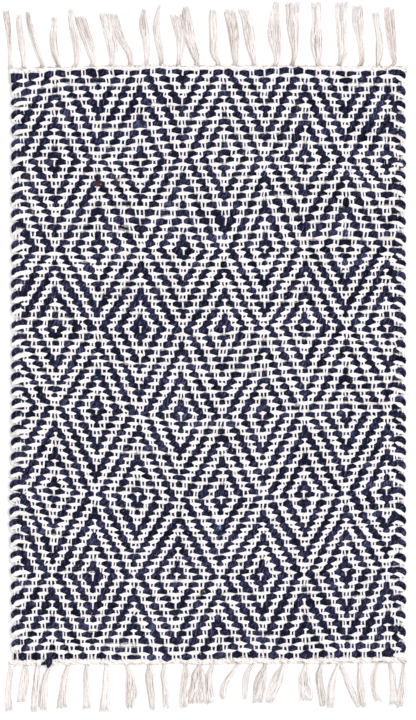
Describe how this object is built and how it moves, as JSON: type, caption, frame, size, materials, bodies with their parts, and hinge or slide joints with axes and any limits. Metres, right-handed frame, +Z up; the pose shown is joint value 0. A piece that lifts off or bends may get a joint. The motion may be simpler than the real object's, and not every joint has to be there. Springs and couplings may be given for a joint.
{
  "type": "flat-woven rug",
  "caption": "Small hand-loomed flat-woven rug with thick navy weft, white warp and weft in a diamond twill, and knotted cotton fringes.",
  "frame": {"origin": "on the floor, under the middle of the box round the rug and both fringes", "axes": "+X across the rug along its weft, +Y along its warp towards the longer fringe, +Z up out of its face"},
  "size_m": [0.6272, 1.1, 0.008],
  "materials": {
    "navy_weft": "thick soft navy yarn with paler blue fibres, matt",
    "white_cotton": "undyed and bleached white cotton yarn, matt"
  },
  "bodies": {
    "root": {"woven_panel": "navy_weft", "fringe_top": "white_cotton", "fringe_bottom": "white_cotton"}
  },
  "joints": []
}
